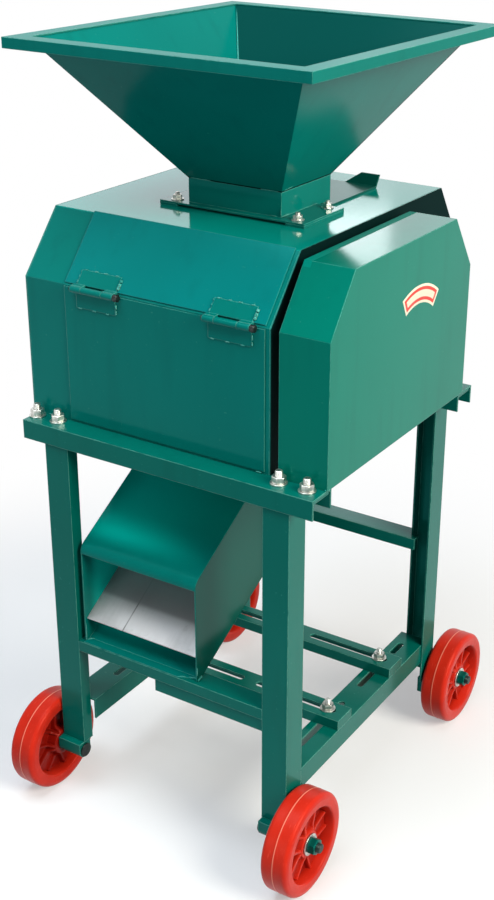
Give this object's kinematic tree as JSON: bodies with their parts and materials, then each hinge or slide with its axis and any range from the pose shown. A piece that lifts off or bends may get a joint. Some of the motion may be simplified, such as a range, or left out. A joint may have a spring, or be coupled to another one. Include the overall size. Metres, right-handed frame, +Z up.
{
  "type": "grain splitting machine",
  "caption": "Small farm roller mill on a wheeled stand: square feed hopper with slide gate, hinged sheet casing, belt guard, crushing rollers, sloped chute and motor rails.",
  "frame": {"origin": "on the floor at the middle of the wheelbase, which is the middle of the bounding box in plan", "axes": "+Z up, front with the hinged door and the chute mouth towards -Y, belt guard towards +X"},
  "size_m": [0.579, 0.713, 1.262],
  "materials": {
    "green_paint": "glossy teal green paint on folded sheet steel",
    "grey_paint": "satin dark grey paint",
    "zinc": "zinc plated, slightly yellow",
    "dark_steel": "blackened steel with overspray",
    "red_plastic": "orange red moulded plastic with a mould line",
    "bearing_iron": "painted bearing housings",
    "machined_steel": "machined, hardened and lightly oiled",
    "cast_iron": "turned grooves, cast web",
    "stainless": "bare stainless sheet, lightly scratched"
  },
  "bodies": {
    "stand": {"leg_front_left": "green_paint", "leg_front_right": "green_paint", "leg_rear_left": "green_paint", "leg_rear_right": "green_paint", "leg_plates": "green_paint", "top_rail_front": "green_paint", "top_rail_rear": "green_paint", "frame_bolts": "zinc", "side_rail_left": "green_paint", "side_rail_right": "green_paint", "cross_rail_front": "green_paint", "mid_rail_rear": "green_paint", "motor_rail_front": "green_paint", "motor_rail_rear": "green_paint", "motor_rail_bolts": "zinc", "axle_blocks": "green_paint", "axle_bolts": "dark_steel", "axle_nuts": "zinc", "casing_side_left": "green_paint", "casing_side_right": "green_paint", "casing_cover": "green_paint", "casing_rear": "green_paint", "slope_panel": "green_paint", "hinge_leaves_fixed": "green_paint", "hinge_pins": "dark_steel", "belt_guard": "green_paint", "mill_bearers": "grey_paint", "bearing_plate_left": "grey_paint", "bearing_plate_right": "grey_paint", "outboard_plate": "grey_paint", "fixed_bearings": "bearing_iron", "screw_lugs": "grey_paint", "scrapers": "machined_steel", "feed_throat": "green_paint", "hopper": "green_paint", "hopper_rim": "green_paint", "hopper_neck": "green_paint", "neck_bolts": "zinc", "gate_guides": "green_paint", "chute_hood": "green_paint", "chute_tray": "stainless"},
    "door": {"front_door": "green_paint", "hinge_leaves_door": "green_paint"},
    "gate": {"slide_gate": "green_paint"},
    "wheel_fl": {"wheel_front_left": "red_plastic"},
    "wheel_fr": {"wheel_front_right": "red_plastic"},
    "wheel_rl": {"wheel_rear_left": "red_plastic"},
    "wheel_rr": {"wheel_rear_right": "red_plastic"},
    "drive": {"drive_roller": "machined_steel", "drive_gear": "machined_steel", "drive_pulley": "cast_iron"},
    "carriage": {"slide_bearings": "bearing_iron", "gap_screws": "zinc", "gap_springs": "dark_steel", "gap_nuts": "zinc"},
    "driven": {"driven_roller": "machined_steel", "driven_gear": "machined_steel"}
  },
  "joints": [
    {"name": "door_hinge", "type": "hinge", "parent": "stand", "child": "door", "pos_m": [0, -0.2461, 0.905], "axis": [-1, 0, 0], "range_deg": [0, 120]},
    {"name": "gate_slide", "type": "slide", "parent": "stand", "child": "gate", "axis": [0, 1, 0], "range_m": [0, 0.14]},
    {"name": "wheel_fl_spin", "type": "hinge", "parent": "stand", "child": "wheel_fl", "pos_m": [-0.25, -0.2715, 0.085], "axis": [1, 0, 0], "continuous": true},
    {"name": "wheel_fr_spin", "type": "hinge", "parent": "stand", "child": "wheel_fr", "pos_m": [0.25, -0.2715, 0.085], "axis": [1, 0, 0], "continuous": true},
    {"name": "wheel_rl_spin", "type": "hinge", "parent": "stand", "child": "wheel_rl", "pos_m": [-0.25, 0.2715, 0.085], "axis": [1, 0, 0], "continuous": true},
    {"name": "wheel_rr_spin", "type": "hinge", "parent": "stand", "child": "wheel_rr", "pos_m": [0.25, 0.2715, 0.085], "axis": [1, 0, 0], "continuous": true},
    {"name": "drive_spin", "type": "hinge", "parent": "stand", "child": "drive", "pos_m": [0, -0.037, 0.8], "axis": [1, 0, 0], "continuous": true},
    {"name": "gap_slide", "type": "slide", "parent": "stand", "child": "carriage", "axis": [0, 1, 0], "range_m": [0, 0.004], "stiffness_N_per_m": 20000, "springref_m": -0.002},
    {"name": "driven_spin", "type": "hinge", "parent": "carriage", "child": "driven", "pos_m": [0, 0.084, 0.8], "axis": [1, 0, 0], "continuous": true}
  ],
  "couplings": [
    {"joint": "driven_spin", "follows": "drive_spin", "ratio": -1}
  ]
}
